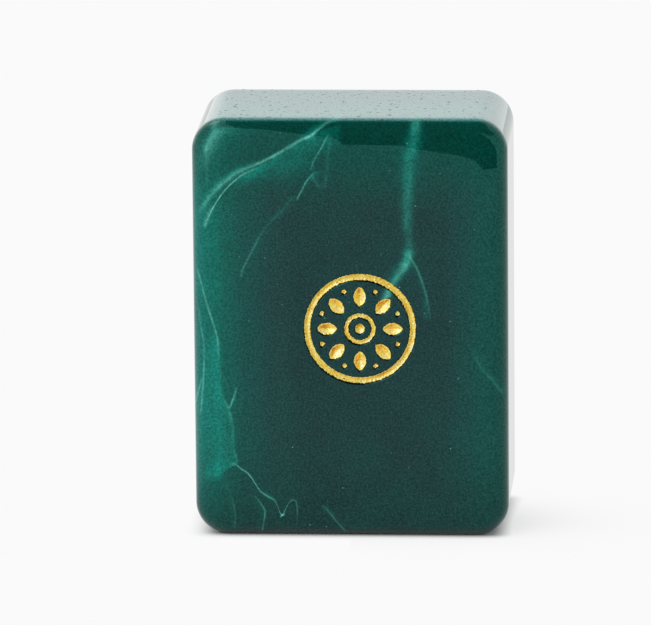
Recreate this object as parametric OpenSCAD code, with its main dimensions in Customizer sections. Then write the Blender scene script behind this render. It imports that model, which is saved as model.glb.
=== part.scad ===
// A playing tile cast as one block of marbled resin. It stands on a short edge, with its
// decorated face towards -Y and the middle of its foot at the origin. All sizes are in millimetres.
// The face carries an engraved rosette. Each of its strokes is lined with a coat of gold paint.

/* [Tile] */
// Width of the tile, seen from the front
tile_w = 22.2; // [18:0.1:30]
// Thickness of the tile, front to back
tile_d = 13; // [10:0.1:20]
// Height of the tile
tile_h = 30; // [24:0.1:42]
// Radius of the four corners, seen from the front
corner_r = 2.3; // [1:0.1:4]
// Radius of the rims round the front and the back face, at most that of the corners
rim_r = 1.3; // [0.5:0.1:3.5]

/* [Rosette] */
// Outer diameter of the rosette
rosette_d = 8; // [7.4:0.1:9]
// How far the rosette stands to the right of the middle of the face
rosette_shift = 0.7; // [-1:0.1:1]
// How far the rosette stands above the middle of the face
rosette_lift = 0.1; // [-1:0.1:1]
// Width of the outer ring, cut half as deep as it is wide
outer_ring_w = 0.55; // [0.4:0.01:0.7]
// Width of the inner ring, cut half as deep as it is wide
inner_ring_w = 0.42; // [0.3:0.01:0.5]
// Bare face left between one stroke and the next, along the radius
stroke_gap = 0.35; // [0.25:0.01:0.4]
// Number of petals, with a bead between each two
petals = 8; // [6:1:10]
// Width of a petal as a share of its length
petal_width_share = 0.62; // [0.4:0.01:0.75]
// Depth of a petal along its keel
petal_depth = 0.31; // [0.15:0.01:0.45]
// Diameter of each bead
bead_d = 0.44; // [0.3:0.01:0.6]
// Depth of each bead
bead_depth = 0.2; // [0.12:0.01:0.25]
// Diameter of the dot in the middle
dot_d = 0.8; // [0.6:0.01:1]
// Depth of the dot
dot_depth = 0.3; // [0.15:0.01:0.35]

/* [Gold paint] */
// Thickness of the paint that lines every stroke
paint_t = 0.1; // [0.06:0.01:0.12]

/* [Hidden] */
petal_nodes = [for (i = [1 : petals]) str("gold_petal_", i)];
bead_nodes = [for (i = [1 : petals]) str("gold_bead_", i)];
$fn = 96;

resin_colour = [0.09, 0.29, 0.28];
gold_colour = [0.93, 0.75, 0.33];

// A rim is never rounder than the corners that it runs round.
rim = min(rim_r, corner_r);

// Radii in the rosette, from the outer ring inwards
outer_ring_r = (rosette_d - outer_ring_w) / 2;
field_r = rosette_d / 2 - outer_ring_w;
petal_out_r = field_r - stroke_gap;
bead_ring_r = petal_out_r - bead_d / 2;
inner_ring_r = dot_d / 2 + stroke_gap + inner_ring_w / 2;
petal_in_r = inner_ring_r + inner_ring_w / 2 + stroke_gap;

// The petals fill the field between the two rings.
petal_l = petal_out_r - petal_in_r;
petal_w = petal_width_share * petal_l;
petal_mid_r = (petal_out_r + petal_in_r) / 2;
petal_turn = 360 / petals;

// Radius of the arc that stands on a chord and rises by the given height
function arc_r(chord, rise) = (pow(chord / 2, 2) + pow(rise, 2)) / (2 * rise);

// Centred rectangle with round corners
module round_rect(width, height, r) {
    square([width - 2 * r, height], center = true);
    square([width, height - 2 * r], center = true);
    for (x = [-1, 1], y = [-1, 1])
        translate([x * (width / 2 - r), y * (height / 2 - r)])
            circle(r);
}

// One turned corner of the block: a quarter of a disc whose two edges have the rims' radius
module block_corner() {
    rotate([90, 0, 0])
        rotate_extrude(angle = 90)
            intersection() {
                round_rect(2 * corner_r, tile_d, rim);
                translate([0, -tile_d / 2])
                    square([corner_r, tile_d]);
            }
}

// The plain block, centred on the origin: two crossed bars with the rims' section, and four corners
module block() {
    flat_w = tile_w - 2 * corner_r;
    flat_h = tile_h - 2 * corner_r;
    rotate([90, 0, 90])
        linear_extrude(height = flat_w, center = true)
            round_rect(tile_d, tile_h, rim);
    linear_extrude(height = flat_h, center = true)
        round_rect(tile_w, tile_d, rim);
    for (side = [0, 1], end = [0, 1])
        mirror([side, 0, 0])
            mirror([0, 0, end])
                translate([flat_w / 2, 0, flat_h / 2])
                    block_corner();
}

// Brings the rosette's own frame, with +Z out of the face and +Y up, to its place on the tile
module on_face() {
    translate([rosette_shift, -tile_d / 2, tile_h / 2 + rosette_lift])
        rotate([90, 0, 0])
            children();
}

// Turns and moves a petal or a bead to its place in the rosette
module in_rosette(turn, radius) {
    rotate([0, 0, turn])
        translate([0, radius, 0])
            children();
}

// The part of a profile that lies below the face
module below_face(width, depth) {
    intersection() {
        children();
        translate([-width / 2, -depth])
            square([width, depth]);
    }
}

// Groove left by a round-nosed cutter that follows a ring
module ring_cut(ring_r, width) {
    rotate_extrude()
        translate([ring_r, 0])
            circle(d = width);
}

// Paint that lines a ring's groove as an even coat
module ring_paint(ring_r, width) {
    rotate_extrude()
        translate([ring_r, 0])
            below_face(width, width / 2)
                difference() {
                    circle(d = width);
                    circle(d = width - 2 * paint_t);
                }
}

// Wheel with an edge ground like a thin lens, which leaves a pointed hollow with a keel where it
// dips into the face. The hollow has the given length, width and depth. The coat is how far the
// wheel is shrunk all over.
module leaf_wheel(length, width, depth, coat = 0) {
    wheel_r = arc_r(length, depth);
    side_shift = (pow(length / 2, 2) - pow(width / 2, 2)) / width;
    side_r = sqrt(pow(wheel_r, 2) + pow(side_shift, 2)) - coat;
    translate([0, 0, wheel_r - depth])
        rotate([0, 90, 0])
            rotate_extrude()
                intersection() {
                    translate([0, -side_shift])
                        circle(side_r);
                    translate([0, side_shift])
                        circle(side_r);
                    translate([0, -wheel_r])
                        square([wheel_r, 2 * wheel_r]);
                }
}

// Paint that lines a petal's hollow as an even coat
module petal_paint() {
    intersection() {
        difference() {
            leaf_wheel(petal_l, petal_w, petal_depth);
            leaf_wheel(petal_l, petal_w, petal_depth, paint_t);
        }
        translate([-petal_w, -petal_l, -2 * petal_depth])
            cube([2 * petal_w, 2 * petal_l, 2 * petal_depth]);
    }
}

// Ball that leaves a round dish of the given diameter and depth in the face
module dish_cut(diameter, depth) {
    ball_r = arc_r(diameter, depth);
    translate([0, 0, ball_r - depth])
        sphere(ball_r);
}

// Paint that lines a dish as an even coat
module dish_paint(diameter, depth) {
    ball_r = arc_r(diameter, depth);
    rotate_extrude()
        intersection() {
            translate([0, -depth])
                square([diameter / 2, depth]);
            difference() {
                translate([0, ball_r - depth])
                    circle(ball_r);
                translate([0, ball_r - depth])
                    circle(ball_r - paint_t);
            }
        }
}

module tile_body() {
    color(resin_colour)
        difference() {
            translate([0, 0, tile_h / 2])
                block();
            on_face() {
                ring_cut(outer_ring_r, outer_ring_w);
                ring_cut(inner_ring_r, inner_ring_w);
                dish_cut(dot_d, dot_depth);
                for (i = [1 : petals]) {
                    in_rosette(i * petal_turn, petal_mid_r)
                        leaf_wheel(petal_l, petal_w, petal_depth);
                    in_rosette((i + 1 / 2) * petal_turn, bead_ring_r)
                        dish_cut(bead_d, bead_depth);
                }
            }
        }
}

module gold_outer_ring() {
    color(gold_colour)
        on_face()
            ring_paint(outer_ring_r, outer_ring_w);
}

module gold_inner_ring() {
    color(gold_colour)
        on_face()
            ring_paint(inner_ring_r, inner_ring_w);
}

module gold_dot() {
    color(gold_colour)
        on_face()
            dish_paint(dot_d, dot_depth);
}

module gold_petal(i) {
    color(gold_colour)
        on_face()
            in_rosette(i * petal_turn, petal_mid_r)
                petal_paint();
}

module gold_bead(i) {
    color(gold_colour)
        on_face()
            in_rosette((i + 1 / 2) * petal_turn, bead_ring_r)
                dish_paint(bead_d, bead_depth);
}

tile_body();
gold_outer_ring();
gold_inner_ring();
gold_dot();
for (i = [1 : petals]) {
    gold_petal(i);
    gold_bead(i);
}
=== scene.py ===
# A playing tile of marbled resin with an engraved, gold-lined rosette, standing on a pale floor.
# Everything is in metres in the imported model's own frame: the tile stands on z = 0, its face is
# towards -Y, and the middle of its foot is the origin.
import math

import bmesh
import bpy
import numpy as np
from mathutils import Matrix, Vector, noise


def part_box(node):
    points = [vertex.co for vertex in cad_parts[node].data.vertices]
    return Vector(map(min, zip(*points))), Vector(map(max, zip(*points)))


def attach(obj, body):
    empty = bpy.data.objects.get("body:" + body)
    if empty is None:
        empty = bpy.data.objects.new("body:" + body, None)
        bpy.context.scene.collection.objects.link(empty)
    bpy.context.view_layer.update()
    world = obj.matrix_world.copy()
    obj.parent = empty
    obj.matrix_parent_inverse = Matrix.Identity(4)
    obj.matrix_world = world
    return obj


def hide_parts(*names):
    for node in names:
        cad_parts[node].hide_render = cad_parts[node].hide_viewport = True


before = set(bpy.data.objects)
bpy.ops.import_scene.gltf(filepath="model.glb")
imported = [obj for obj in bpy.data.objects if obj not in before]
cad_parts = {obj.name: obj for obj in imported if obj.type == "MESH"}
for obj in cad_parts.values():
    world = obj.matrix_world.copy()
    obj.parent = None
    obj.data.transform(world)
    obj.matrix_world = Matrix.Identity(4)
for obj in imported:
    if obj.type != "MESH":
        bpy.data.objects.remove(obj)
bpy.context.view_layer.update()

MM = 0.001

# Sizes of the tile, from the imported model's boxes
tile_low, tile_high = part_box("tile_body")
tile_w = tile_high.x - tile_low.x
tile_d = tile_high.y - tile_low.y
tile_h = tile_high.z - tile_low.z
face_y = tile_low.y
middle = (tile_low + tile_high) / 2

# Radii of its corners and of its front and back rims, which the boxes don't give
corner_r = 2.3 * MM
rim_r = 1.3 * MM

# How far the front and the back sink towards their edges
crown = 0.03 * MM


# Sizes of the rosette, from the boxes of its paint linings
def box_size(node):
    low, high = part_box(node)
    return high - low


def box_middle(node):
    low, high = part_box(node)
    return (low + high) / 2


def ring_sizes(node):
    """Radius of a ring's middle line and width of its groove, which is cut half as deep as it is wide."""
    size = box_size(node)
    width = 2 * size.y
    return (size.x - width) / 2, width


petal_nodes = sorted(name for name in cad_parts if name.startswith("gold_petal_"))
bead_nodes = sorted(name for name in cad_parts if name.startswith("gold_bead_"))
rosette = box_middle("gold_dot")
outer_ring_r, outer_ring_w = ring_sizes("gold_outer_ring")
inner_ring_r, inner_ring_w = ring_sizes("gold_inner_ring")
dot_size = box_size("gold_dot")
bead_size = box_size(bead_nodes[0])


def from_rosette(node):
    """Where a piece lies in the rosette: right and up of its middle."""
    offset = box_middle(node) - rosette
    return offset.x, offset.z


# The petal that points straight up gives the petals' length, width and depth.
upright = max(petal_nodes, key=lambda name: from_rosette(name)[1])
petal_size = box_size(upright)
petal_w, petal_depth, petal_l = petal_size.x, petal_size.y, petal_size.z
petal_mid_r = math.hypot(*from_rosette(upright))


# Depth of the engraving below the face
def arc_r(chord, rise):
    """Radius of the arc that stands on a chord and rises by the given height."""
    return ((chord / 2) ** 2 + rise ** 2) / (2 * rise)


def root(value):
    return np.sqrt(np.maximum(value, 0))


def ring_depth(right, up, radius, width):
    off_line = np.hypot(right, up) - radius
    return root((width / 2) ** 2 - off_line ** 2)


def dish_depth(right, up, diameter, depth):
    ball_r = arc_r(diameter, depth)
    return np.maximum(root(ball_r ** 2 - right ** 2 - up ** 2) - (ball_r - depth), 0)


def leaf_shift(length, width):
    """How far the middles of a leaf's two side arcs lie from the leaf's own middle."""
    return ((length / 2) ** 2 - (width / 2) ** 2) / width


def leaf_depth(across, along, length, width, depth):
    wheel_r = arc_r(length, depth)
    shift = leaf_shift(length, width)
    under = wheel_r ** 2 + shift ** 2 - (np.abs(across) + shift) ** 2 - along ** 2
    return np.maximum(root(under) - (wheel_r - depth), 0)


def petal_frame(node, right, up):
    """Turns places in the rosette into places across and along a petal, from its own middle."""
    x, z = from_rosette(node)
    reach = math.hypot(x, z)
    along = (right * x + up * z) / reach - reach
    across = (right * z - up * x) / reach
    return across, along


def petal_cut(node, right, up):
    across, along = petal_frame(node, right, up)
    return leaf_depth(across, along, petal_l, petal_w, petal_depth)


def bead_cut(node, right, up):
    x, z = from_rosette(node)
    return dish_depth(right - x, up - z, bead_size.x, bead_size.y)


def engraving(right, up):
    """Depth of the deepest cut at each place of the rosette."""
    cuts = [
        ring_depth(right, up, outer_ring_r, outer_ring_w),
        ring_depth(right, up, inner_ring_r, inner_ring_w),
        dish_depth(right, up, dot_size.x, dot_size.y),
    ]
    cuts += [petal_cut(node, right, up) for node in petal_nodes]
    cuts += [bead_cut(node, right, up) for node in bead_nodes]
    return np.maximum.reduce(cuts)


def crowned(points):
    """Draws the front and the back in a little towards their edges."""
    x = (points[:, 0] - middle.x) / (tile_w / 2)
    z = (points[:, 2] - middle.z) / (tile_h / 2)
    edge = 1 - (1 - np.minimum(x ** 2, 1)) * (1 - np.minimum(z ** 2, 1))
    share = crown / (tile_d / 2)
    points[:, 1] = middle.y + (points[:, 1] - middle.y) * (1 - share * edge)
    return points


# Mesh helpers
def new_mesh(name, points, faces):
    mesh = bpy.data.meshes.new(name)
    mesh.from_pydata([tuple(p) for p in points], [], faces)
    work = bmesh.new()
    work.from_mesh(mesh)
    bmesh.ops.recalc_face_normals(work, faces=work.faces)
    work.to_mesh(mesh)
    work.free()
    mesh.polygons.foreach_set("use_smooth", [True] * len(mesh.polygons))
    mesh.update()
    piece = bpy.data.objects.new(name, mesh)
    bpy.context.scene.collection.objects.link(piece)
    return piece


def loop_faces(loops, count, closed=False):
    """Quads between each loop of points and the next."""
    last = loops if closed else loops - 1
    faces = []
    for i in range(last):
        here, there = i * count, ((i + 1) % loops) * count
        for k in range(count):
            beside = (k + 1) % count
            faces.append((here + k, here + beside, there + beside, there + k))
    return faces


def fan_faces(pole, start, count):
    return [(pole, start + k, start + (k + 1) % count) for k in range(count)]


# The tile's block, as loops from the middle of the rosette, over the rims, to the middle of the back.
# The loops lie close to each other on a disc that holds the whole rosette.
per_corner = 24
per_end = 96
per_side = 128
disc_margin = 0.3 * MM
disc_r = outer_ring_r + outer_ring_w / 2 + disc_margin
disc_step = 0.05 * MM
rim_steps = 14
side_steps = 16
flat_steps = 22


def block_outline():
    """Points that the corners turn about and directions outwards, one pair for each outline point."""
    half_w = tile_w / 2 - corner_r
    half_h = tile_h / 2 - corner_r
    corners = [(half_w, half_h), (-half_w, half_h), (-half_w, -half_h), (half_w, -half_h)]
    bases, outs = [], []
    for i, (x, z) in enumerate(corners):
        for k in range(per_corner):
            turn = math.radians(90) * (i + k / per_corner)
            bases.append((x, z))
            outs.append((math.cos(turn), math.sin(turn)))
        next_x, next_z = corners[(i + 1) % 4]
        steps = per_end if i % 2 == 0 else per_side
        turn = math.radians(90) * (i + 1)
        for k in range(steps):
            share = k / steps
            bases.append((x + (next_x - x) * share, z + (next_z - z) * share))
            outs.append((math.cos(turn), math.sin(turn)))
    return np.array(bases), np.array(outs)


def disc_radii():
    """Radii of the loops round the rosette, with one on the edge of each groove."""
    marks = [dot_size.x / 2]
    for radius, width in ((inner_ring_r, inner_ring_w), (outer_ring_r, outer_ring_w)):
        marks += [radius - width / 2, radius + width / 2]
    marks += [petal_mid_r - petal_l / 2, petal_mid_r + petal_l / 2, disc_r]
    radii, last = [], 0
    for mark in sorted(marks):
        steps = max(1, math.ceil((mark - last) / disc_step))
        radii += [last + (mark - last) * (k + 1) / steps for k in range(steps)]
        last = mark
    return radii


def tile_block():
    """The block as one closed mesh, with the engraving sunk into its face."""
    bases, outs = block_outline()
    count = len(bases)

    def outline(inset):
        flat = bases + outs * (corner_r - inset)
        return flat[:, 0] + middle.x, flat[:, 1] + middle.z

    inner_x, inner_z = outline(rim_r)
    angle = np.arctan2(inner_z - rosette.z, inner_x - rosette.x)
    loops = []

    def add(x, y, z):
        loops.append(np.column_stack([x, np.broadcast_to(y, x.shape), z]))

    for radius in disc_radii():
        right, up = radius * np.cos(angle), radius * np.sin(angle)
        add(rosette.x + right, face_y + engraving(right, up), rosette.z + up)
    disc_x, disc_z = loops[-1][:, 0], loops[-1][:, 2]
    for k in range(1, flat_steps + 1):
        share = k / flat_steps
        add(disc_x + (inner_x - disc_x) * share, face_y, disc_z + (inner_z - disc_z) * share)

    def rim(end, inward):
        """Loops over one rim, from its flat face outwards, for a face at the given y."""
        found = []
        for k in range(1, rim_steps + 1):
            turn = math.radians(90) * k / rim_steps
            x, z = outline(rim_r * (1 - math.sin(turn)))
            found.append((x, end + inward * rim_r * (1 - math.cos(turn)), z))
        return found

    for loop in rim(face_y, 1):
        add(*loop)
    side_x, side_z = outline(0)
    for k in range(1, side_steps):
        add(side_x, face_y + rim_r + (tile_d - 2 * rim_r) * k / side_steps, side_z)
    for loop in reversed(rim(tile_high.y, -1)):
        add(*loop)
    for k in range(flat_steps):
        share = k / flat_steps
        x = inner_x + (middle.x - inner_x) * share
        z = inner_z + (middle.z - inner_z) * share
        add(x, tile_high.y, z)
    points = np.concatenate(loops)
    front_pole = len(points)
    poles = [
        (rosette.x, face_y + dot_size.y, rosette.z),
        (middle.x, tile_high.y, middle.z),
    ]
    points = crowned(np.concatenate([points, np.array(poles)]))
    faces = loop_faces(len(loops), count)
    faces += fan_faces(front_pole, 0, count)
    faces += fan_faces(front_pole + 1, (len(loops) - 1) * count, count)
    return new_mesh("tile_block", points, faces)


# The gold paint, as thin closed shells that line the grooves, a little off the resin and with a
# ragged edge
paint_t = 0.07 * MM
paint_lift = 0.004 * MM
paint_margin = 0.055 * MM
edge_wander = 0.03 * MM
edge_grain = 0.16 * MM

# The paint's surface is uneven at two sizes, and neither side of a shell comes out above the face.
paint_wander = 0.012 * MM
coarse_grain = 0.16 * MM
fine_grain = 0.07 * MM
fine_part = 0.5
coarse_seed, fine_seed = 3, 7
least_top = 0.01 * MM
least_under = 0.014 * MM
least_paint = 0.003 * MM

# Points round each shell and loops across it. A higher edge value keeps the paint thick until closer
# to its edge. The smallest loop of a petal, bead or dot is a small share of one step in size.
ring_steps, ring_rows, ring_edge = 720, 15, 6
petal_steps, petal_rings = 120, 16
dish_steps, dish_rings = 72, 10
hollow_edge = 8
smallest_loop = 0.02

# Smooth noise seldom passes 0.6, so this brings it to about 1.
noise_gain = 1.6


def wander(right, up, size, seed):
    """Smooth noise between about -1 and 1 over the rosette, whose bumps have the given size."""
    values = [
        noise.noise(Vector((a / size, b / size, seed)))
        for a, b in zip(np.ravel(right), np.ravel(up))
    ]
    return noise_gain * np.array(values).reshape(np.shape(right))


def shell_layers(right, up, cut, coat):
    """Depths of a paint shell's top and underside, over a groove of the given depth."""
    coarse = wander(right, up, coarse_grain, coarse_seed)
    fine = wander(right, up, fine_grain, fine_seed)
    rough = paint_wander * (coarse + fine_part * fine)
    top = np.maximum(cut - paint_lift - coat * paint_t - rough * coat, least_top)
    under = np.maximum(cut - paint_lift, least_under)
    top = np.minimum(top, under - least_paint)
    return top, under


def on_face(right, up, depth):
    x, y, z = rosette.x + np.ravel(right), face_y + np.ravel(depth), rosette.z + np.ravel(up)
    return crowned(np.column_stack([x, y, z]))


def ring_shell(name, radius, width, seed):
    """Paint shell that lines a ring's groove."""
    turn = np.linspace(0, 2 * math.pi, ring_steps, endpoint=False)
    ring_right, ring_up = radius * np.cos(turn), radius * np.sin(turn)
    half = width / 2 - paint_margin
    inner = edge_wander * wander(ring_right, ring_up, edge_grain, seed) - half
    outer = half - edge_wander * wander(ring_right, ring_up, edge_grain, seed + 1)
    tops, unders = [], []
    for k in range(ring_rows):
        share = k / (ring_rows - 1)
        reach = radius + inner + (outer - inner) * share
        right, up = reach * np.cos(turn), reach * np.sin(turn)
        coat = 1 - abs(2 * share - 1) ** ring_edge
        top, under = shell_layers(right, up, ring_depth(right, up, radius, width), coat)
        tops.append(on_face(right, up, top))
        unders.append(on_face(right, up, under))
    loops = tops + unders[::-1]
    return new_mesh(name, np.concatenate(loops), loop_faces(len(loops), ring_steps, closed=True))


def leaf_reach(turn, length, width):
    """Distance from a leaf's middle to its edge, with the turn from across to along."""
    shift = leaf_shift(length, width)
    reach = width / 2 + shift
    return root(reach ** 2 - (shift * np.sin(turn)) ** 2) - shift * np.abs(np.cos(turn))


def star_shell(name, x, z, reach, cut, seed, aim, steps, rings):
    """Paint shell in a hollow round (x, z); reach gives its edge, and cut its depth, over the rosette."""
    turn = np.linspace(0, 2 * math.pi, steps, endpoint=False)
    edge = reach(turn)
    ragged = edge_wander * wander(x + edge * np.cos(turn), z + edge * np.sin(turn), edge_grain, seed)
    edge = edge - paint_margin - ragged
    tops, unders = [], []
    for k in range(rings + 1):
        share = max(k, smallest_loop) / rings
        right = x + edge * share * np.cos(turn + aim)
        up = z + edge * share * np.sin(turn + aim)
        top, under = shell_layers(right, up, cut(right, up), 1 - share ** hollow_edge)
        tops.append(on_face(right, up, top))
        unders.append(on_face(right, up, under))

    # The top runs from the edge to its pole, and the underside from its pole to the edge.
    loops = tops[::-1] + unders
    under_start = len(tops) * steps
    last_start = (len(loops) - 1) * steps
    top_faces = loop_faces(len(tops), steps)
    faces = top_faces + [tuple(under_start + i for i in face) for face in top_faces]
    for k in range(steps):
        beside = (k + 1) % steps
        faces.append((k, beside, last_start + beside, last_start + k))
    poles = [tops[0].mean(axis=0), unders[0].mean(axis=0)]
    points = np.concatenate([*loops, poles])
    faces += fan_faces(len(points) - 2, under_start - steps, steps)
    faces += fan_faces(len(points) - 1, under_start, steps)
    return new_mesh(name, points, faces)


def petal_shell(node, seed):
    x, z = from_rosette(node)
    return star_shell(
        node + "_paint", x, z,
        lambda turn: leaf_reach(turn, petal_l - paint_margin, petal_w),
        lambda right, up: petal_cut(node, right, up),
        seed, math.atan2(z, x) - math.radians(90), petal_steps, petal_rings,
    )


def dish_shell(node, x, z, size, seed):
    return star_shell(
        node + "_paint", x, z,
        lambda turn: np.full_like(turn, size.x / 2),
        lambda right, up: dish_depth(right - x, up - z, size.x, size.y),
        seed, 0.0, dish_steps, dish_rings,
    )


# Node helpers
class Nodes:
    """Adds nodes to a tree; an input is a number, a tuple or another node's output."""

    def __init__(self, tree):
        self.tree = tree
        tree.nodes.clear()

    def put(self, socket, value):
        if isinstance(value, bpy.types.NodeSocket):
            self.tree.links.new(value, socket)
        elif value is not None:
            colour = socket.type == "RGBA" and len(value) == 3
            socket.default_value = (*value, 1) if colour else value

    def add(self, kind, inputs=None, **settings):
        made = self.tree.nodes.new(kind)
        for name, value in settings.items():
            setattr(made, name, value)
        for name, value in (inputs or {}).items():
            self.put(made.inputs[name], value)
        return made

    def math(self, operation, a, b=None, c=None, clamp=False):
        made = self.tree.nodes.new("ShaderNodeMath")
        made.operation = operation
        made.use_clamp = clamp
        for socket, value in zip(made.inputs, (a, b, c)):
            self.put(socket, value)
        return made.outputs[0]

    def times(self, *values, clamp=False):
        """The product of all the values; clamp keeps it between 0 and 1."""
        product = values[0]
        for value in values[1:-1]:
            product = self.math("MULTIPLY", product, value)
        return self.math("MULTIPLY", product, values[-1], clamp=clamp)

    def vector(self, operation, a, b):
        return self.add("ShaderNodeVectorMath", {0: a, 1: b}, operation=operation).outputs["Vector"]

    def measure(self, operation, a, b):
        """The number that a vector operation, such as DISTANCE, gives."""
        return self.add("ShaderNodeVectorMath", {0: a, 1: b}, operation=operation).outputs["Value"]

    def place(self):
        """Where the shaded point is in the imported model's own frame."""
        return self.add("ShaderNodeTexCoord").outputs["Object"]

    def normal(self):
        return self.add("ShaderNodeNewGeometry").outputs["Normal"]

    def split(self, vector):
        return self.add("ShaderNodeSeparateXYZ", {"Vector": vector}).outputs

    def ramp(self, value, low, high, to_low=0.0, to_high=1.0):
        """The value mapped smoothly from low..high to to_low..to_high, clamped."""
        made = self.add(
            "ShaderNodeMapRange",
            {"Value": value, "From Min": low, "From Max": high, "To Min": to_low, "To Max": to_high},
            interpolation_type="SMOOTHSTEP",
        )
        return made.outputs["Result"]

    def mix(self, factor, a, b, blend="MIX"):
        """Two colours mixed. Sockets 6 and 7 of the node are its colours, and output 2 is its result."""
        made = self.tree.nodes.new("ShaderNodeMix")
        made.data_type = "RGBA"
        made.blend_type = blend
        self.put(made.inputs[0], factor)
        self.put(made.inputs[6], a)
        self.put(made.inputs[7], b)
        return made.outputs[2]

    def noise(self, where, scale, detail=2.0, roughness=0.5, distortion=0.0):
        made = self.add(
            "ShaderNodeTexNoise",
            {
                "Vector": where, "Scale": scale, "Detail": detail,
                "Roughness": roughness, "Distortion": distortion,
            },
        )
        return made.outputs["Fac"]

    def dots(self, where, scale, low, high, channel):
        """Dots round scattered points, which fade between two distances, and each dot's random number."""
        cells = self.add("ShaderNodeTexVoronoi", {"Vector": where, "Scale": scale, "Randomness": 1.0})
        own = self.add("ShaderNodeSeparateColor", {"Color": cells.outputs["Color"]}).outputs[channel]
        return self.ramp(cells.outputs["Distance"], low, high, 1.0, 0.0), own

    def colours(self, value, stops):
        """Colour ramp through (place, colour) stops."""
        made = self.tree.nodes.new("ShaderNodeValToRGB")
        made.color_ramp.interpolation = "EASE"
        elements = made.color_ramp.elements
        while len(elements) < len(stops):
            elements.new(0.5)
        for element, (place, colour) in zip(elements, stops):
            element.position = place
            element.color = (*colour, 1)
        self.put(made.inputs[0], value)
        return made.outputs[0]

    def curve(self, value, points):
        """A smooth curve through points in the unit square, level beyond its ends."""
        made = self.tree.nodes.new("ShaderNodeFloatCurve")
        mapping = made.mapping
        mapping.extend = "HORIZONTAL"
        line = mapping.curves[0]
        while len(line.points) < len(points):
            line.points.new(0.5, 0.5)
        for point, (x, y) in zip(line.points, sorted(points)):
            point.location = (x, y)
        mapping.update()
        self.put(made.inputs["Value"], value)
        return made.outputs[0]

    def show(self, shader, output="ShaderNodeOutputMaterial"):
        """Connects the shader to the tree's output."""
        self.put(self.add(output).inputs["Surface"], shader.outputs[0])


def new_material(name):
    material = bpy.data.materials.new(name)
    material.use_nodes = True
    return material, Nodes(material.node_tree)


def bell(n, value):
    """A smooth bump, 1 where the value is 0."""
    return n.math("EXPONENT", n.math("MULTIPLY", n.math("POWER", value, 2.0), -1.0))


# Colours of the marbled resin
deep_teal = (0.0080, 0.0105, 0.0155)
deep_green = (0.002, 0.044, 0.035)
# Partly the resin's own tone and partly a painted glow of light through the resin at the left edge
left_glow_green = (0.003, 0.150, 0.125)
# Painted shade for the foot
foot_shade_teal = (0.0025, 0.0055, 0.0065)
veil_green = (0.003, 0.200, 0.155)
wisp_pale = (0.16, 0.62, 0.50)
dust_pale = (0.22, 0.42, 0.38)
bloom_pale = (0.11, 0.19, 0.19)
upper_green = (0.0006, 0.052, 0.037)
top_back = (0.001, 0.075, 0.070)
top_front = (0.010, 0.150, 0.140)
scar_green = (0.001, 0.020, 0.020)
# Painted shade for the walls of the engraving
groove_shade_green = (0.0005, 0.002, 0.002)

# The body colour from the left edge of the face to its right edge, in millimetres from its middle. Towards
# the edges it is partly the resin's own tone and partly a painted glow of light passing through the resin,
# brightest at the left edge.
body_stops = [
    (-11.1, left_glow_green),
    (-9.5, (0.002, 0.125, 0.095)),
    (-8.7, (0.003, 0.082, 0.060)),
    (-7.2, (0.006, 0.045, 0.040)),
    (-5.2, (0.010, 0.020, 0.023)),
    (-3.5, deep_teal),
    (6.4, deep_teal),
    (8.0, (0.006, 0.030, 0.028)),
    (9.3, deep_green),
    (11.15, (0.001, 0.034, 0.026)),
]

# Scales of the resin's patterns, in bumps for each metre, from the broadest pattern to the finest
vein_area_scale = 90.0
fold_scale = 170.0
cloud_scale = 260.0
warp_scale = 420.0
patch_scale = 900.0
peel_scale = 900.0
polish_scale = 1200.0
dust_scale = 1700.0
scar_scale = 2000.0
pit_scale = 3800.0
satin_scale = 5200.0
grain_scale = 6600.0
bloom_scale = 7400.0
fine_scale = 9000.0

# How far the same slow warp moves the body colours and the wisps
body_warp = 0.55 * MM
wisp_warp = 0.12 * MM

# The wisps fade between these two depths below the face, and veins take their place.
wisps_end = (0.6 * MM, 3.5 * MM)

# A vein follows the middle value of stretched noise. Its thread and its sheet end where the noise is
# this far from that value. The veins grow faint between these two depths below the top.
vein_stretch = (0.55, 0.8, 0.32)
thread_half, sheet_half = 0.012, 0.08
veins_below_top = (1.6 * MM, 0.6 * MM)

# Share of a wisp's length over which it fades in and out at its ends
wisp_fade = 0.08

# Painted shade: the walls of the engraving are painted dark between these two depths below the face.
groove_shade_depths = (0.012 * MM, 0.03 * MM)

# Height of the orange peel and depth of the pits in the polish
relief_height = 0.004 * MM

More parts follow.
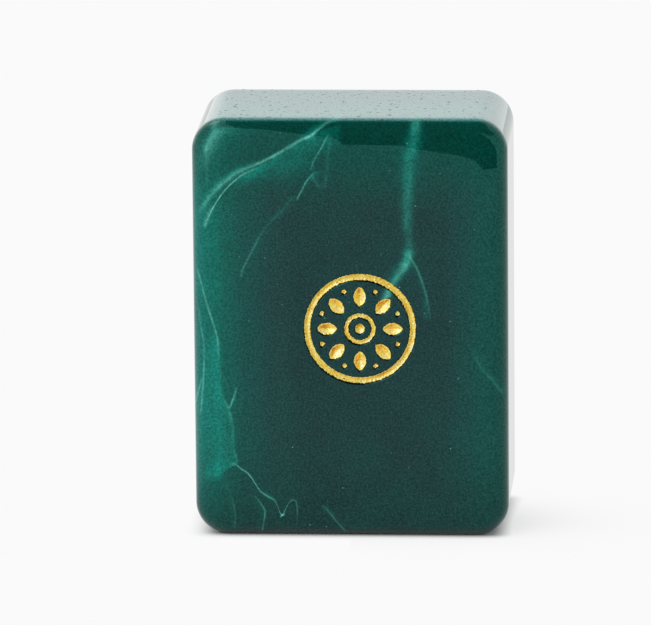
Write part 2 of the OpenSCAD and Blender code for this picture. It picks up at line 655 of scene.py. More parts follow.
# Each wisp on the face: the axis that it follows, the half width of its bright core, how far its
# veil spreads towards lower and towards higher values across, and its course. A point of the course
# gives the place along and across, in millimetres from the middle of the foot, the strengths of core
# and veil there, and how wide the wisp is there as a share of its own width.
wisps = [
    # The long double wisp at the top left
    ("x", 0.11, 0.18, 0.40, [
        (-10.73, 23.29, 0.0, 0.0, 1.0), (-10.3, 23.78, 0.06, 0.85, 1.0), (-9.81, 24.48, 0.12, 1.0, 1.1),
        (-9.17, 25.22, 0.12, 1.0, 1.1), (-8.52, 25.81, 0.14, 0.95, 1.0),
        (-7.87, 26.29, 0.16, 0.85, 0.8), (-7.23, 26.58, 0.22, 0.7, 0.6), (-6.58, 26.84, 0.38, 0.4, 0.4),
        (-5.5, 27.37, 0.5, 0.25, 0.3), (-4.42, 27.97, 0.42, 0.35, 0.4), (-3.35, 28.61, 0.45, 0.6, 0.6),
        (-2.65, 28.93, 0.8, 0.8, 1.0), (-2.05, 29.38, 0.22, 0.55, 0.7), (-1.41, 29.81, 0.22, 0.45, 0.7),
        (-0.11, 30.07, 0.1, 0.25, 0.8)]),
    ("x", 0.065, 0.10, 0.18, [
        (-10.25, 22.14, 0.0, 0.0, 1.0), (-10.07, 22.64, 0.8, 0.75, 1.0), (-9.81, 23.29, 0.95, 0.6, 1.0),
        (-9.4, 24.04, 0.95, 0.4, 0.8), (-9.01, 24.64, 0.92, 0.35, 0.7), (-8.52, 25.25, 0.85, 0.35, 0.6),
        (-8.07, 25.67, 0.78, 0.4, 0.6), (-7.6, 26.03, 0.62, 0.4, 0.6), (-7.12, 26.32, 0.3, 0.4, 0.6),
        (-6.36, 26.64, 0.0, 0.2, 0.6)]),
    ("z", 0.15, 0.05, 0.05, [
        (22.33, -10.18, 0.0, 0.0, 1.0), (22.75, -10.07, 0.55, 0.0, 1.0), (23.19, -9.92, 0.45, 0.0, 1.0),
        (23.68, -9.68, 0.22, 0.0, 1.0), (24.12, -9.44, 0.0, 0.0, 1.0)]),
    ("x", 0.05, 1.2, 0.06, [
        (-8.41, 25.38, 0.0, 0.0, 0.3), (-7.66, 25.92, 0.0, 0.7, 0.35), (-7.12, 26.3, 0.0, 0.95, 0.5),
        (-6.36, 26.67, 0.0, 0.88, 0.6), (-5.5, 27.18, 0.0, 0.66, 0.9), (-4.42, 27.79, 0.0, 0.56, 1.2),
        (-3.35, 28.42, 0.0, 0.56, 1.4), (-2.48, 28.86, 0.0, 0.6, 1.3), (-1.62, 29.32, 0.0, 0.45, 1.1),
        (-0.33, 29.65, 0.0, 0.3, 1.0)]),
    ("x", 0.27, 0.10, 0.10, [
        (-10.75, 23.2, 0.0, 0.0, 1.0), (-10.3, 23.85, 0.22, 0.0, 1.0), (-9.75, 24.6, 0.26, 0.0, 1.0),
        (-8.98, 25.42, 0.24, 0.0, 1.0), (-7.96, 26.15, 0.20, 0.0, 1.0), (-7.0, 26.65, 0.10, 0.0, 1.0),
        (-6.2, 27.0, 0.0, 0.0, 1.0)]),
    # A cloud in the upper left corner
    ("z", 0.50, 0.6, 1.5, [
        (26.14, -10.25, 0.0, 0.05, 1.0), (26.8, -10.12, 0.06, 0.15, 0.8),
        (27.68, -9.92, 0.18, 0.3, 0.9), (28.23, -9.76, 0.26, 0.4, 1.0), (28.83, -9.47, 0.26, 0.45, 1.0),
        (29.27, -9.01, 0.16, 0.4, 1.0), (29.6, -8.41, 0.0, 0.2, 1.0)]),
    # Short streaks under the double wisp
    ("z", 0.055, 0.10, 0.20, [
        (26.4, -2.7, 0.0, 0.15, 1.0), (26.78, -2.58, 0.12, 0.18, 1.0), (27.13, -2.43, 0.25, 0.2, 1.0),
        (27.95, -1.97, 0.40, 0.25, 1.0), (28.5, -1.66, 0.42, 0.3, 1.0), (28.85, -1.49, 0.25, 0.35, 1.2),
        (29.1, -1.35, 0.0, 0.2, 1.0)]),
    ("z", 0.06, 0.08, 0.36, [
        (24.3, -3.67, 0.0, 0.0, 0.5), (24.53, -3.59, 0.25, 0.04, 0.5), (25.07, -3.31, 0.42, 0.10, 0.5),
        (25.69, -2.98, 0.46, 0.35, 0.8), (26.0, -2.72, 0.30, 0.50, 1.2), (26.24, -2.5, 0.10, 0.40, 1.2),
        (26.5, -2.4, 0.0, 0.2, 1.0)]),
    ("z", 0.10, 0.20, 0.25, [
        (25.05, -2.0, 0.0, 0.0, 1.0), (25.38, -2.21, 0.03, 0.10, 1.0), (25.81, -2.43, 0.08, 0.22, 1.0),
        (26.14, -2.59, 0.04, 0.16, 1.0), (26.36, -2.68, 0.0, 0.0, 1.0)]),
    ("z", 0.07, 0.35, 0.35, [
        (18.47, -7.7, 0.0, 0.02, 1.0), (19.24, -7.57, 0.18, 0.05, 1.0), (20.17, -7.14, 0.22, 0.06, 1.0),
        (21.19, -6.6, 0.2, 0.08, 1.0), (21.98, -6.15, 0.1, 0.1, 1.0), (22.8, -5.5, 0.05, 0.12, 1.0),
        (23.46, -4.8, 0.05, 0.14, 1.0), (24.28, -4.15, 0.04, 0.12, 1.0), (24.94, -3.67, 0.0, 0.05, 1.0)]),
    ("z", 0.10, 0.20, 0.20, [
        (25.05, -1.68, 0.0, 0.0, 1.0), (25.92, -1.6, 0.06, 0.12, 1.0), (27.24, -1.46, 0.04, 0.12, 1.0),
        (28.55, -1.3, 0.03, 0.16, 1.0), (29.1, -1.19, 0.0, 0.1, 1.0)]),
    # The broad wisp that comes down to the rosette and forks
    ("z", 0.30, 0.46, 0.46, [
        (19.9, 4.15, 0.0, 0.2, 0.8), (20.4, 4.15, 0.10, 0.55, 0.8), (21.3, 4.19, 0.05, 0.38, 0.7),
        (22.56, 4.07, 0.05, 0.42, 0.8), (24.2, 4.07, 0.06, 0.46, 0.9), (25.85, 4.19, 0.05, 0.55, 1.1),
        (27.5, 4.31, 0.05, 0.75, 1.2), (28.7, 4.63, 0.06, 0.85, 1.1), (30.0, 4.71, 0.14, 0.80, 0.7),
        (30.6, 4.75, 0.16, 0.80, 0.7)]),
    ("z", 0.26, 0.38, 0.32, [
        (16.2, 1.9, 0.0, 0.0, 1.0), (16.8, 2.2, 0.16, 0.5, 0.6), (17.2, 2.45, 0.32, 0.85, 0.7),
        (17.8, 2.75, 0.30, 0.90, 0.8), (18.4, 3.05, 0.20, 0.90, 1.0), (18.9, 3.35, 0.26, 0.95, 1.3),
        (19.4, 3.75, 0.46, 1.0, 1.5), (19.8, 3.98, 0.34, 0.95, 1.3), (20.4, 4.1, 0.06, 0.6, 0.8),
        (21.0, 4.1, 0.0, 0.2, 0.7)]),
    ("z", 0.08, 0.50, 0.10, [
        (15.6, 5.7, 0.0, 0.12, 1.0), (17.0, 5.5, 0.10, 0.22, 0.7), (18.1, 5.25, 0.20, 0.28, 0.5),
        (19.6, 4.7, 0.34, 0.34, 0.4), (20.4, 4.2, 0.34, 0.34, 0.4), (20.8, 4.1, 0.0, 0.2, 0.3)]),
    # The curtain down the left side, with its thin folds
    ("z", 0.07, 1.0, 0.10, [
        (9.0, -8.7, 0.0, 0.40, 1.4), (9.7, -8.8, 0.12, 0.55, 1.2), (10.4, -9.2, 0.06, 0.68, 1.0),
        (12.0, -9.2, 0.03, 0.75, 0.9), (13.5, -9.3, 0.20, 0.70, 0.7), (14.6, -9.4, 0.42, 0.40, 0.5),
        (15.6, -9.7, 0.55, 0.15, 0.4), (16.9, -10.1, 0.48, 0.08, 0.4), (18.4, -10.5, 0.40, 0.05, 0.4),
        (19.8, -10.9, 0.15, 0.0, 0.4)]),
    ("z", 0.07, 0.06, 0.2, [
        (9.3, -8.6, 0.30, 0.3, 1.0), (10.0, -8.3, 0.36, 0.15, 1.0), (10.9, -8.05, 0.10, 0.0, 1.0)]),
    ("z", 0.07, 0.20, 0.25, [
        (8.6, -10.7, 0.10, 0.05, 1.0), (9.8, -10.55, 0.34, 0.10, 1.0), (11.4, -10.4, 0.36, 0.25, 1.0),
        (12.8, -10.33, 0.30, 0.25, 1.0), (14.0, -10.35, 0.30, 0.15, 1.0), (15.4, -10.55, 0.18, 0.10, 1.0),
        (17.4, -10.85, 0.06, 0.05, 1.0)]),
    ("z", 0.06, 0.05, 0.05, [
        (9.5, -11.0, 0.15, 0.0, 1.0), (10.4, -10.8, 0.30, 0.0, 1.0), (11.5, -10.5, 0.20, 0.0, 1.0)]),
    ("z", 0.10, 1.5, 0.12, [
        (3.9, -9.5, 0.0, 0.30, 0.5), (4.5, -9.2, 0.0, 0.75, 0.7), (5.05, -8.6, 0.02, 0.85, 0.8),
        (5.4, -8.15, 0.06, 0.72, 0.8), (6.2, -8.25, 0.06, 0.52, 0.9), (7.0, -8.32, 0.05, 0.46, 1.0),
        (8.2, -8.4, 0.08, 0.42, 1.0), (9.0, -8.55, 0.16, 0.50, 1.0), (9.9, -8.9, 0.0, 0.40, 0.9)]),
    ("z", 0.10, 0.55, 0.35, [
        (3.9, -9.6, 0.0, 0.20, 1.0), (4.6, -9.5, 0.0, 0.55, 1.0), (6.0, -9.4, 0.0, 0.42, 1.0),
        (8.0, -9.3, 0.0, 0.42, 1.0), (10.5, -9.4, 0.0, 0.50, 1.0), (13.0, -9.5, 0.0, 0.40, 1.0),
        (15.0, -9.7, 0.0, 0.20, 1.0)]),
    # The crinkled line at the foot
    ("x", 0.06, 0.10, 0.15, [
        (-8.9, 5.2, 0.02, 0.2, 1.0), (-8.3, 5.3, 0.22, 0.25, 1.0), (-7.8, 4.95, 0.50, 0.15, 1.0),
        (-7.3, 4.6, 0.70, 0.12, 1.0), (-6.8, 3.9, 0.55, 0.10, 1.0), (-6.35, 3.25, 0.45, 0.20, 1.0),
        (-5.9, 2.95, 0.42, 0.45, 1.4), (-5.45, 2.65, 0.45, 0.45, 1.2), (-5.2, 2.15, 0.45, 0.15, 1.0),
        (-4.92, 1.6, 0.62, 0.05, 1.0), (-4.6, 1.9, 0.20, 0.0, 1.0)]),
    ("x", 0.055, 0.06, 0.06, [
        (-5.1, 1.45, 0.20, 0.0, 1.0), (-4.9, 1.6, 0.50, 0.1, 1.0), (-4.65, 2.1, 0.42, 0.1, 1.0),
        (-4.4, 2.55, 0.26, 0.1, 1.0), (-4.1, 2.75, 0.22, 0.1, 1.0), (-3.95, 2.6, 0.10, 0.0, 1.0)]),
    ("z", 0.05, 0.05, 0.05, [
        (0.6, -3.9, 0.03, 0.0, 1.0), (1.6, -3.85, 0.09, 0.0, 1.0), (2.5, -3.9, 0.18, 0.0, 1.0),
        (2.8, -4.0, 0.10, 0.0, 1.0)]),
    ("z", 0.06, 0.40, 0.05, [
        (0.3, -6.35, 0.20, 0.1, 1.0), (0.9, -6.25, 0.30, 0.1, 1.0), (1.9, -6.15, 0.28, 0.12, 1.0),
        (2.4, -6.4, 0.16, 0.15, 1.0), (3.1, -6.9, 0.04, 0.1, 1.0)]),
    ("z", 0.07, 0.30, 0.05, [
        (0.5, -8.3, 0.10, 0.1, 1.0), (2.1, -8.3, 0.07, 0.1, 1.0), (3.0, -8.5, 0.05, 0.12, 1.0),
        (3.9, -8.9, 0.02, 0.15, 1.0)]),
    ("z", 0.07, 0.20, 0.25, [
        (0.2, -0.35, 0.12, 0.05, 1.0), (0.9, -0.85, 0.24, 0.08, 1.0), (1.6, -1.4, 0.26, 0.15, 1.0),
        (2.05, -1.75, 0.12, 0.40, 1.6), (2.4, -2.2, 0.0, 0.2, 1.6)]),
    # A faint one at the right
    ("z", 0.10, 0.20, 0.40, [
        (10.3, 10.8, 0.02, 0.10, 1.0), (11.3, 10.1, 0.08, 0.15, 1.0), (12.4, 9.2, 0.06, 0.15, 1.0),
        (13.8, 8.6, 0.02, 0.05, 1.0)]),
]


def share_across(mm):
    """Place across the face as a share of one tile height, with 0.5 in the middle."""
    return mm * MM / tile_h + 0.5


def share_up(mm):
    """Height above the foot as a share of the tile's height."""
    return mm * MM / tile_h


def add_wisp(n, shares, wisp):
    """Masks of one wisp's bright core and of its veil."""
    axis, core_w, low_w, high_w, course = wisp
    along, along_share = shares[axis]
    across, across_share = shares["x" if axis == "z" else "z"]
    stations = [along_share(point[0]) for point in course]
    lines = [across_share(point[1]) for point in course]

    def strength(k):
        return n.curve(along, [(at, point[k]) for at, point in zip(stations, course)])

    middle_line = n.curve(along, list(zip(stations, lines)))
    off = n.math("MULTIPLY", n.math("SUBTRACT", across, middle_line), tile_h / MM)
    fade = wisp_fade * (stations[-1] - stations[0])
    enter = n.ramp(along, stations[0], stations[0] + fade)
    leave = n.ramp(along, stations[-1] - fade, stations[-1], 1.0, 0.0)
    window = n.times(enter, leave)
    wide = n.math("MULTIPLY", n.math("MAXIMUM", off, 0.0), 1 / high_w)
    wide = n.math("MULTIPLY_ADD", n.math("MINIMUM", off, 0.0), 1 / low_w, wide)
    haze = bell(n, n.math("DIVIDE", wide, strength(4)))
    line = bell(n, n.math("DIVIDE", off, core_w))
    return n.times(line, window, strength(2)), n.times(haze, window, strength(3))


def moved(n, where, bend, reach):
    """Coordinates of places that smooth noise has moved by about a quarter of the reach."""
    offset = n.add("ShaderNodeVectorMath", {0: bend, "Scale": reach}, operation="SCALE").outputs["Vector"]
    return n.split(n.vector("ADD", where, offset))


def body_colour(n, where, x, y, up_share, upward):
    """Colour without marbling, which changes slowly from side to side and towards the ends. Its brighter
    green towards the edges of the face is partly a painted glow of light through the resin, and its
    darkening towards the foot is painted shade.
    """
    across = n.math("MULTIPLY_ADD", x, 1 / tile_h, 0.5)
    body = n.colours(across, [(share_across(mm), colour) for mm, colour in body_stops])
    body = n.mix(n.ramp(up_share, 0.76, 0.95, 0.0, 0.9), body, upper_green)
    top_light = n.mix(n.ramp(y, tile_high.y, face_y), top_back, top_front)
    body = n.mix(n.ramp(upward, 0.80, 0.99), body, top_light)
    # Painted shade: the body is painted darker towards the foot
    body = n.mix(n.ramp(up_share, -0.03, 0.27, 0.9, 0.0), body, foot_shade_teal)
    cloud = n.noise(where, cloud_scale, 3.0, 0.55)
    return n.mix(n.ramp(cloud, 0.35, 0.75, 0.0, 0.35), body, deep_green)


def face_wisps(n, where, shares, near_face):
    """Masks of the cores and of the veils of all wisps."""
    core, veil = 0.0, 0.0
    for wisp in wisps:
        core_mask, veil_mask = add_wisp(n, shares, wisp)
        core = n.math("ADD", core_mask, core)
        veil = n.math("ADD", veil_mask, veil)
    patchy = n.ramp(n.noise(where, patch_scale, 2.0), 0.3, 0.7, 0.55, 1.15)
    return n.times(core, patchy, near_face, clamp=True), n.times(veil, patchy, near_face, clamp=True)


def deep_veins(n, where, z, near_face):
    """Masks of the threads and of the sheets of the veins that show on every other side."""
    drawn = n.vector("MULTIPLY", where, vein_stretch)
    fold = n.noise(drawn, fold_scale, 4.0, 0.5, 1.1)
    crease = n.math("ABSOLUTE", n.math("SUBTRACT", fold, 0.5))
    area = n.ramp(n.noise(where, vein_area_scale, 1.0), 0.46, 0.66)
    elsewhere = n.math("SUBTRACT", 1.0, near_face)
    start, end = (tile_h - below for below in veins_below_top)
    area = n.times(area, elsewhere, n.ramp(z, start, end, 0.5, 0.06))
    thread = n.times(n.ramp(crease, 0.0, thread_half, 1.0, 0.0), area)
    sheet = n.times(n.ramp(crease, 0.0, sheet_half, 1.0, 0.0), area)
    return thread, sheet


def weathered(n, where, colour, grain, up_share):
    """Adds fine grain, a pale bloom and a few pale specks of dust."""
    shade = n.colours(grain, [(0.3, (0.70, 0.70, 0.70)), (0.7, (1.30, 1.30, 1.30))])
    colour = n.mix(1.0, colour, shade, "MULTIPLY")
    bloom = n.ramp(n.noise(where, bloom_scale, 1.0, 0.5), 0.42, 0.74, 0.0, 0.12)
    bloom = n.times(bloom, n.ramp(up_share, 0.80, 0.92, 1.0, 0.25))
    colour = n.mix(bloom, colour, bloom_pale)
    speck, own = n.dots(where, dust_scale, 0.04, 0.11, 0)
    return n.mix(n.times(speck, n.ramp(own, 0.72, 1.0, 0.0, 0.65)), colour, dust_pale)


def painted_groove_shade(n, where, colour):
    """Paints shade on the walls of the engraving beside the paint."""
    depth = n.math("SUBTRACT", n.split(where)[1], face_y)
    off_middle = n.measure("DISTANCE", where, tuple(rosette))
    within = n.math("LESS_THAN", off_middle, outer_ring_r + outer_ring_w)
    return n.mix(n.times(n.ramp(depth, *groove_shade_depths), within), colour, groove_shade_green)


def fine_relief(n, where, upward):
    """Faint orange peel and tiny pits, which are strongest on faces that look up."""
    peel = n.noise(where, peel_scale, 2.0, 0.5)
    fine = n.noise(where, fine_scale, 2.0, 0.6)
    pit, own = n.dots(where, pit_scale, 0.1, 0.34, 1)
    pit = n.times(pit, n.math("GREATER_THAN", own, 0.8))
    height = n.math("MULTIPLY_ADD", fine, 0.25, peel)
    height = n.math("MULTIPLY_ADD", pit, -1.2, height)
    strength = n.ramp(upward, 0.6, 0.95, 0.04, 1.0)
    return n.add("ShaderNodeBump", {"Height": height, "Strength": strength, "Distance": relief_height})


def resin_material():
    material, n = new_material("marbled_resin")
    where = n.place()
    upward = n.split(n.normal())[2]
    warp = n.add("ShaderNodeTexNoise", {"Vector": where, "Scale": warp_scale, "Detail": 3.0})
    bend = n.vector("SUBTRACT", warp.outputs["Color"], (0.5, 0.5, 0.5))
    x, y, z = moved(n, where, bend, body_warp)
    up_share = n.math("MULTIPLY", z, 1 / tile_h)
    wisp_place = moved(n, where, bend, wisp_warp)
    shares = {
        "x": (n.math("MULTIPLY_ADD", wisp_place[0], 1 / tile_h, 0.5), share_across),
        "z": (n.math("MULTIPLY", wisp_place[2], 1 / tile_h), share_up),
    }

    # Body colour, with its painted glow at the edges and painted shade at the foot, the marbling over it,
    # and then grain, dust and the painted shade on the walls of the engraving
    near_face = n.ramp(y, face_y + wisps_end[0], face_y + wisps_end[1], 1.0, 0.0)
    core, veil = face_wisps(n, where, shares, near_face)
    thread, sheet = deep_veins(n, where, z, near_face)
    grain = n.noise(where, grain_scale, 2.0, 0.7)
    colour = body_colour(n, where, x, y, up_share, upward)
    colour = n.mix(n.math("ADD", veil, sheet, clamp=True), colour, veil_green)
    colour = n.mix(n.math("ADD", core, thread, clamp=True), colour, wisp_pale)
    colour = weathered(n, where, colour, grain, up_share)
    colour = painted_groove_shade(n, where, colour)

    # The top has small dull scars and a satin haze, and elsewhere the polish is nearly a mirror.
    level_top = n.ramp(upward, 0.90, 1.0)
    scar = n.times(n.ramp(n.noise(where, scar_scale, 4.0, 0.7), 0.585, 0.635), level_top)
    colour = n.mix(n.times(scar, 0.7), colour, scar_green)
    haze = n.times(n.noise(where, satin_scale, 2.0), level_top)
    polish = n.ramp(n.noise(where, polish_scale, 2.0), 0.3, 0.7, 0.003, 0.012)
    swing = n.times(n.ramp(grain, 0.3, 0.7, -1.0, 1.0), n.ramp(upward, 0.6, 0.95, 0.12, 0.34))
    shine = n.math("ADD", swing, 0.5)
    n.show(n.add("ShaderNodeBsdfPrincipled", {
        "Base Color": colour,
        "Roughness": n.math("MULTIPLY_ADD", haze, 0.16, polish),
        "IOR": 1.52,
        "Specular IOR Level": n.math("MULTIPLY_ADD", scar, -0.48, shine, clamp=True),
        "Specular Tint": (0.2, 0.85, 0.75, 1.0),
        "Normal": fine_relief(n, where, upward).outputs[0],
    }))
    return material


# Colours of the gold paint, from its painted deep shade to its painted highlight, and of the gaps between
# its flakes. The paint is painted lighter, as if lit, where it is turned towards the aim, which points up
# to the left towards the key light, and darker, as painted shade, where it is turned away.
gold_stops = [
    (0.26, (0.50, 0.20, 0.004)),
    (0.40, (0.90, 0.50, 0.025)),
    (0.52, (1.00, 0.71, 0.085)),
    (0.64, (1.00, 0.83, 0.22)),
    (0.78, (1.00, 0.96, 0.66)),
]
gap_brown = (0.22, 0.09, 0.004)
gold_light_aim = (-0.50, -0.30, 0.60)
flake_scale = 9000.0
mottle_scale = 2600.0
gold_relief = 0.02 * MM


def gold_material():
    material, n = new_material("gold_paint")
    where = n.place()
    flakes = n.noise(where, flake_scale, 3.0, 0.7)
    mottle = n.noise(where, mottle_scale, 3.0, 0.6)
    # Painted light and shade: the paint is lighter where it faces the key light and darker where it faces
    # away, mixed with its own mottle
    turned = n.ramp(n.measure("DOT_PRODUCT", n.normal(), gold_light_aim), -0.40, 0.80)
    painted_light_and_mottle = n.math("MULTIPLY_ADD", turned, 0.45, n.math("MULTIPLY", mottle, 0.55))
    colour = n.mix(n.ramp(flakes, 0.32, 0.44, 0.80, 0.0), n.colours(painted_light_and_mottle, gold_stops), gap_brown)
    height = n.math("MULTIPLY_ADD", mottle, 0.8, flakes)
    bump = n.add("ShaderNodeBump", {"Height": height, "Strength": 0.6, "Distance": gold_relief})
    n.show(n.add("ShaderNodeBsdfPrincipled", {
        "Base Color": colour,
        "Metallic": 0.25,
        "Roughness": n.ramp(flakes, 0.3, 0.7, 0.25, 0.45),
        "Normal": bump.outputs[0],
    }))
    return material


def finish_piece(piece, node, material):
    piece.data.materials.append(material)
    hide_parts(node)
    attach(piece, "root")


finish_piece(tile_block(), "tile_body", resin_material())

# Each paint lining has its own seed for its ragged edge. The rings take the next number too.
gold = gold_material()
petal_seed, bead_seed = 40, 60
linings = [
    ("gold_outer_ring", ring_shell("outer_ring_paint", outer_ring_r, outer_ring_w, 11)),
    ("gold_inner_ring", ring_shell("inner_ring_paint", inner_ring_r, inner_ring_w, 21)),
    ("gold_dot", dish_shell("gold_dot", 0.0, 0.0, dot_size, 31)),
]
for k, node in enumerate(petal_nodes):
    linings.append((node, petal_shell(node, petal_seed + k)))
for k, node in enumerate(bead_nodes):
    linings.append((node, dish_shell(node, *from_rosette(node), bead_size, bead_seed + k)))
for node, lining in linings:
    finish_piece(lining, node, gold)

# Studio: a white floor, a white room, and a soft key light from the upper left
white = 0.955
paper_low, paper_high = 0.895, 0.905
paper_scale = 800.0
floor_back = 0.700
floor_side = 0.500

# Before the tile and to its right, the floor ends in an arc about a point beside the face's middle.
floor_end_x = 10 * MM
floor_end_r = 133.6 * MM
floor_end_turns = (-2.6, 50)
floor_end_steps = 18
floor_end_left = [
    (-500 * MM, -400 * MM, 0),
    (-12 * MM, -161.3 * MM, 0),
    (-9.9 * MM, -159.7 * MM, 0),
    (-6.8 * MM, -157.0 * MM, 0),
    (-2.9 * MM, -152.4 * MM, 0),
    (1.4 * MM, -147.6 * MM, 0),
    (3.0 * MM, -144.4 * MM, 0),
]

# The floor shows its shadow close to the foot and, more softly, to the right of the tile. Beyond
# that, it has the plain backdrop colour.
contact_near, contact_far = 0.1 * MM, 2.2 * MM
side_shadow = 0.33
side_shadow_reach = 4.5 * MM
side_shadow_y = -2.0 * MM
side_shadow_half = 5.5 * MM


def grey(level):
    return (level, level, level, 1)


def seen_rays(n):
    """One for rays from the camera and for those that metal and glass show."""
    rays = n.add("ShaderNodeLightPath").outputs
    seen = n.math("MAXIMUM", rays["Is Camera Ray"], rays["Is Glossy Ray"])
    return n.math("MAXIMUM", seen, rays["Is Transmission Ray"])


def beyond(n, value, limit):
    """How far the value lies beyond the limit, and 0 before it."""
    return n.math("MAXIMUM", n.math("SUBTRACT", value, limit), 0.0)


def floor_material():
    material, n = new_material("white_floor")
    where = n.place()
    x, y, z = n.split(where)
    colour = n.mix(n.noise(where, paper_scale, 2.0), grey(paper_low), grey(paper_high))
    past_x = beyond(n, n.math("ABSOLUTE", x), tile_w / 2 - rim_r)
    past_y = beyond(n, n.math("ABSOLUTE", y), tile_d / 2 - rim_r)
    away = n.math("SQRT", n.math("MULTIPLY_ADD", past_x, past_x, n.math("MULTIPLY", past_y, past_y)))
    contact = n.ramp(away, contact_near, contact_far, 1.0, 0.0)
    fall = n.math("EXPONENT", n.math("MULTIPLY", beyond(n, x, tile_w / 2), -1 / side_shadow_reach))
    band = bell(n, n.math("DIVIDE", n.math("SUBTRACT", y, side_shadow_y), side_shadow_half))
    beside = n.times(fall, band, n.math("GREATER_THAN", x, 0.0))
    shaded = n.math("MAXIMUM", contact, n.math("MULTIPLY", beside, side_shadow))
    plain = n.math("SUBTRACT", 1.0, shaded)
    paper = n.add("ShaderNodeBsdfDiffuse", {"Color": colour})
    backdrop = n.add("ShaderNodeEmission", {"Color": grey(white), "Strength": 1.0})
    shader = n.add("ShaderNodeMixShader", {0: n.times(seen_rays(n), plain)})
    n.put(shader.inputs[1], paper.outputs[0])
    n.put(shader.inputs[2], backdrop.outputs[0])
    n.show(shader)
    return material


def floor_corners():
    start, end = (math.radians(turn) for turn in floor_end_turns)
    arc = []
    for turn in np.linspace(start, end, floor_end_steps):
        arc.append((floor_end_x + floor_end_r * math.sin(turn), face_y - floor_end_r * math.cos(turn), 0))
    right_end = (floor_side, face_y - (floor_side - floor_end_x) / math.tan(end), 0)
    return [*floor_end_left, *arc, right_end, (floor_side, floor_back, 0), (-floor_side, floor_back, 0)]


def floor_sheet():
    corners = floor_corners()
    piece = new_mesh("floor", corners, [tuple(range(len(corners)))])
    piece.data.materials.append(floor_material())


# A curved diffuser before the tile, whose right-hand edge shows along the top front rim. The turns
# are degrees above the level of that rim, and the edges give where the diffuser ends at each turn.
# A lamp behind its left-hand part makes it glow there.
scoop_r = 100 * MM
scoop_turns = (-11.5, 46, 58, 125)
scoop_edges = (-6.5 * MM, -12.8 * MM, -15.4 * MM, -17.0 * MM)
scoop_floor = -16.3
scoop_left, scoop_bend = -400 * MM, -35 * MM
scoop_steps = 60
scoop_level = 0.85
glow_x, glow_half, glow_rise = -57 * MM, 25 * MM, 12 * MM
glow_gain = 3.0


def scoop_material():
    """White paper with the glow of a lamp behind its left-hand part."""
    material, n = new_material("scoop_light")
    x, y, z = n.split(n.place())
    glow = bell(n, n.math("DIVIDE", n.math("SUBTRACT", x, glow_x), glow_half))
    glow = n.times(glow, n.ramp(z, 0.0, glow_rise))
    strength = n.math("MULTIPLY_ADD", glow, glow_gain, scoop_level)
    n.show(n.add("ShaderNodeEmission", {"Strength": strength}))
    material.cycles.emission_sampling = "NONE"
    return material


def scoop_point(x, degrees):
    turn = math.radians(degrees)
    return (x, face_y - scoop_r * math.cos(turn), tile_h - rim_r + scoop_r * math.sin(turn))


def scoop_sheet():
    """The diffuser, which stands outside the picture and shows in reflections only."""
    points = []
    inner_turns = np.linspace(scoop_turns[0], scoop_turns[-1], scoop_steps + 1)
    outer_turns = np.linspace(scoop_floor, scoop_turns[-1], scoop_steps + 1)
    for inner, outer in zip(inner_turns, outer_turns):
        edge = np.interp(inner, scoop_turns, scoop_edges)
        points += [scoop_point(scoop_left, outer), scoop_point(scoop_bend, outer), scoop_point(edge, inner)]
    faces = []
    for k in range(scoop_steps):
        low, high = 3 * k, 3 * (k + 1)
        faces += [(low, low + 1, high + 1, high), (low + 1, low + 2, high + 2, high + 1)]
    piece = new_mesh("light_scoop", points, faces)
    piece.data.materials.append(scoop_material())
    piece.visible_camera = False
    piece.visible_diffuse = False
    piece.visible_shadow = False
    piece.visible_transmission = False


# The key light, by the way that it shines
key_toward = Vector((0.55, 0.22, -0.80))
key_strength = 0.42 * math.pi
key_softness = math.radians(60)


def key_light():
    lamp = bpy.data.lights.new("key_light", "SUN")
    lamp.energy = key_strength
    lamp.angle = key_softness
    piece = bpy.data.objects.new("key_light", lamp)
    piece.rotation_euler = key_toward.to_track_quat("-Z", "Y").to_euler()
    piece.visible_glossy = False
    bpy.context.scene.collection.objects.link(piece)


# Level of the soft light that the room gives to dull surfaces
room_light = 0.72

# What polished faces see in the room: it is bright behind and beside them, and dark before and
# above them. Slanted planes through the tile part the two, and each half ends at its own height.
right_slant, left_slant = 0.176, -0.3
front_plane = (0.391, 0.355, 0.462)
plane_half = 0.01
back_heights = (0.80, 0.95)
front_heights = (0.40, 0.68)
behind_from, behind_to = (0.3, 0.8), (0.95, 1.40)


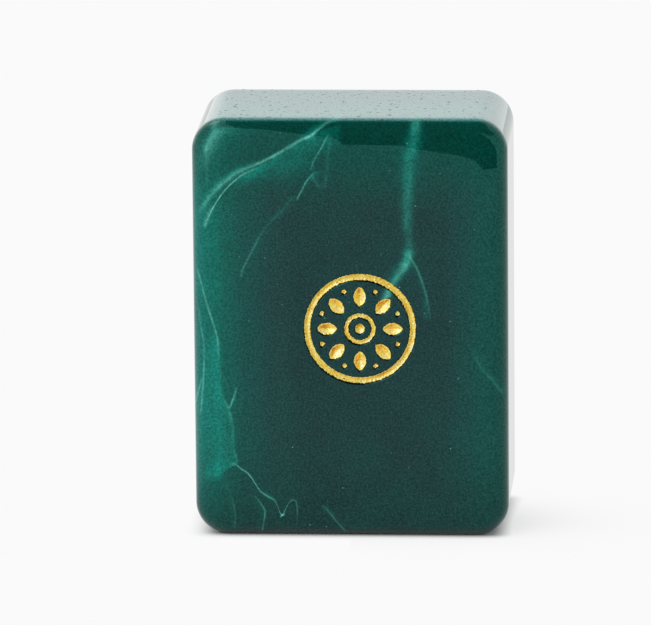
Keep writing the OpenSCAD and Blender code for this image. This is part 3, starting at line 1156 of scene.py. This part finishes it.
def studio_world():
    world = bpy.data.worlds.new("studio")
    bpy.context.scene.world = world
    world.use_nodes = True
    world.cycles.sampling_method = "NONE"
    n = Nodes(world.node_tree)
    rays = n.add("ShaderNodeLightPath").outputs
    toward = n.add("ShaderNodeTexCoord").outputs["Generated"]
    x, y, z = n.split(toward)
    past_right = n.math("MULTIPLY_ADD", n.math("MAXIMUM", x, 0.0), right_slant, y)
    past_sides = n.math("MULTIPLY_ADD", n.math("MINIMUM", x, 0.0), left_slant, past_right)
    past_front = n.measure("DOT_PRODUCT", toward, front_plane)
    back_half = n.times(n.ramp(past_sides, -plane_half, plane_half), n.ramp(z, *back_heights, 1.0, 0.0))
    front_half = n.times(n.ramp(past_front, -plane_half, plane_half), n.ramp(z, *front_heights, 1.0, 0.0))
    lit = n.math("MAXIMUM", back_half, front_half)
    room = n.times(lit, n.ramp(y, *behind_from, *behind_to))
    strength = n.mix(rays["Is Glossy Ray"], grey(room_light), room)
    strength = n.mix(rays["Is Camera Ray"], strength, grey(white))
    n.show(n.add("ShaderNodeBackground", {"Color": strength, "Strength": 1.0}), "ShaderNodeOutputWorld")


floor_sheet()
scoop_sheet()
key_light()
studio_world()

# Camera at the photograph's place, found from the tile's outline in it
frame_w_px = 651
focal_px = 8000
sensor_w = 36
clip_start = 10 * MM
camera_place = Vector((33.797, -554.827, 136.648)) * MM
camera_right = Vector((0.997993, 0.062724, -0.008698))
camera_up = Vector((-0.004942, 0.214090, 0.976801))

camera_data = bpy.data.cameras.new("camera")
camera_data.sensor_fit = "HORIZONTAL"
camera_data.sensor_width = sensor_w
camera_data.lens = sensor_w * focal_px / frame_w_px
camera_data.clip_start = clip_start
camera = bpy.data.objects.new("camera", camera_data)
bpy.context.scene.collection.objects.link(camera)
back = camera_right.cross(camera_up)
turned = Matrix((camera_right, camera_up, back)).transposed().to_4x4()
camera.matrix_world = Matrix.Translation(camera_place) @ turned
bpy.context.scene.camera = camera
bpy.context.scene.view_settings.view_transform = "Standard"
